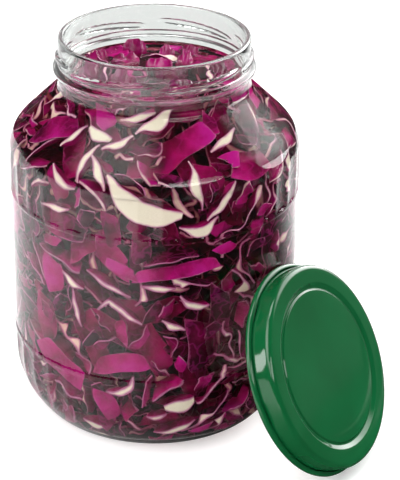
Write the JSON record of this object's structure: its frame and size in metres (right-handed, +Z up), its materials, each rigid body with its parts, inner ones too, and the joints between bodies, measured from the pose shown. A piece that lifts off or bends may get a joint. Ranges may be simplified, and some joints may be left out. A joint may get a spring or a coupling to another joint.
{
  "type": "filled glass canning jar",
  "caption": "Open twist-off glass jar with fluted grip bands, packed with shredded red cabbage in brine, its metal cap leaning on the wall.",
  "frame": {"origin": "on the jar's axis, at the level of the surface that it stands on", "axes": "+Z up along the jar's axis; the cap leans on the jar's -Y side, its outer face towards -Y and up; +X is to the right seen from the cap's side"},
  "size_m": [0.1184, 0.1643, 0.163],
  "materials": {
    "glass": "clear blown glass",
    "brine": "clear purple-red liquid",
    "cabbage": "packed shreds of red cabbage, purple with pale cut edges",
    "leaf": "wet purple leaf",
    "rib": "wet pale leaf rib",
    "enamel": "glossy green stoving enamel",
    "seal": "smooth sealing compound"
  },
  "bodies": {
    "root": {"jar": "glass", "brine": "brine", "cabbage": "cabbage", "leaf_1": "leaf", "leaf_2": "leaf", "leaf_3": "leaf", "leaf_4": "leaf", "leaf_5": "leaf", "leaf_6": "leaf", "leaf_7": "leaf", "leaf_8": "leaf", "leaf_9": "leaf", "rib_1": "rib", "rib_2": "rib", "cap": "enamel", "cap_seal": "seal"}
  },
  "joints": []
}
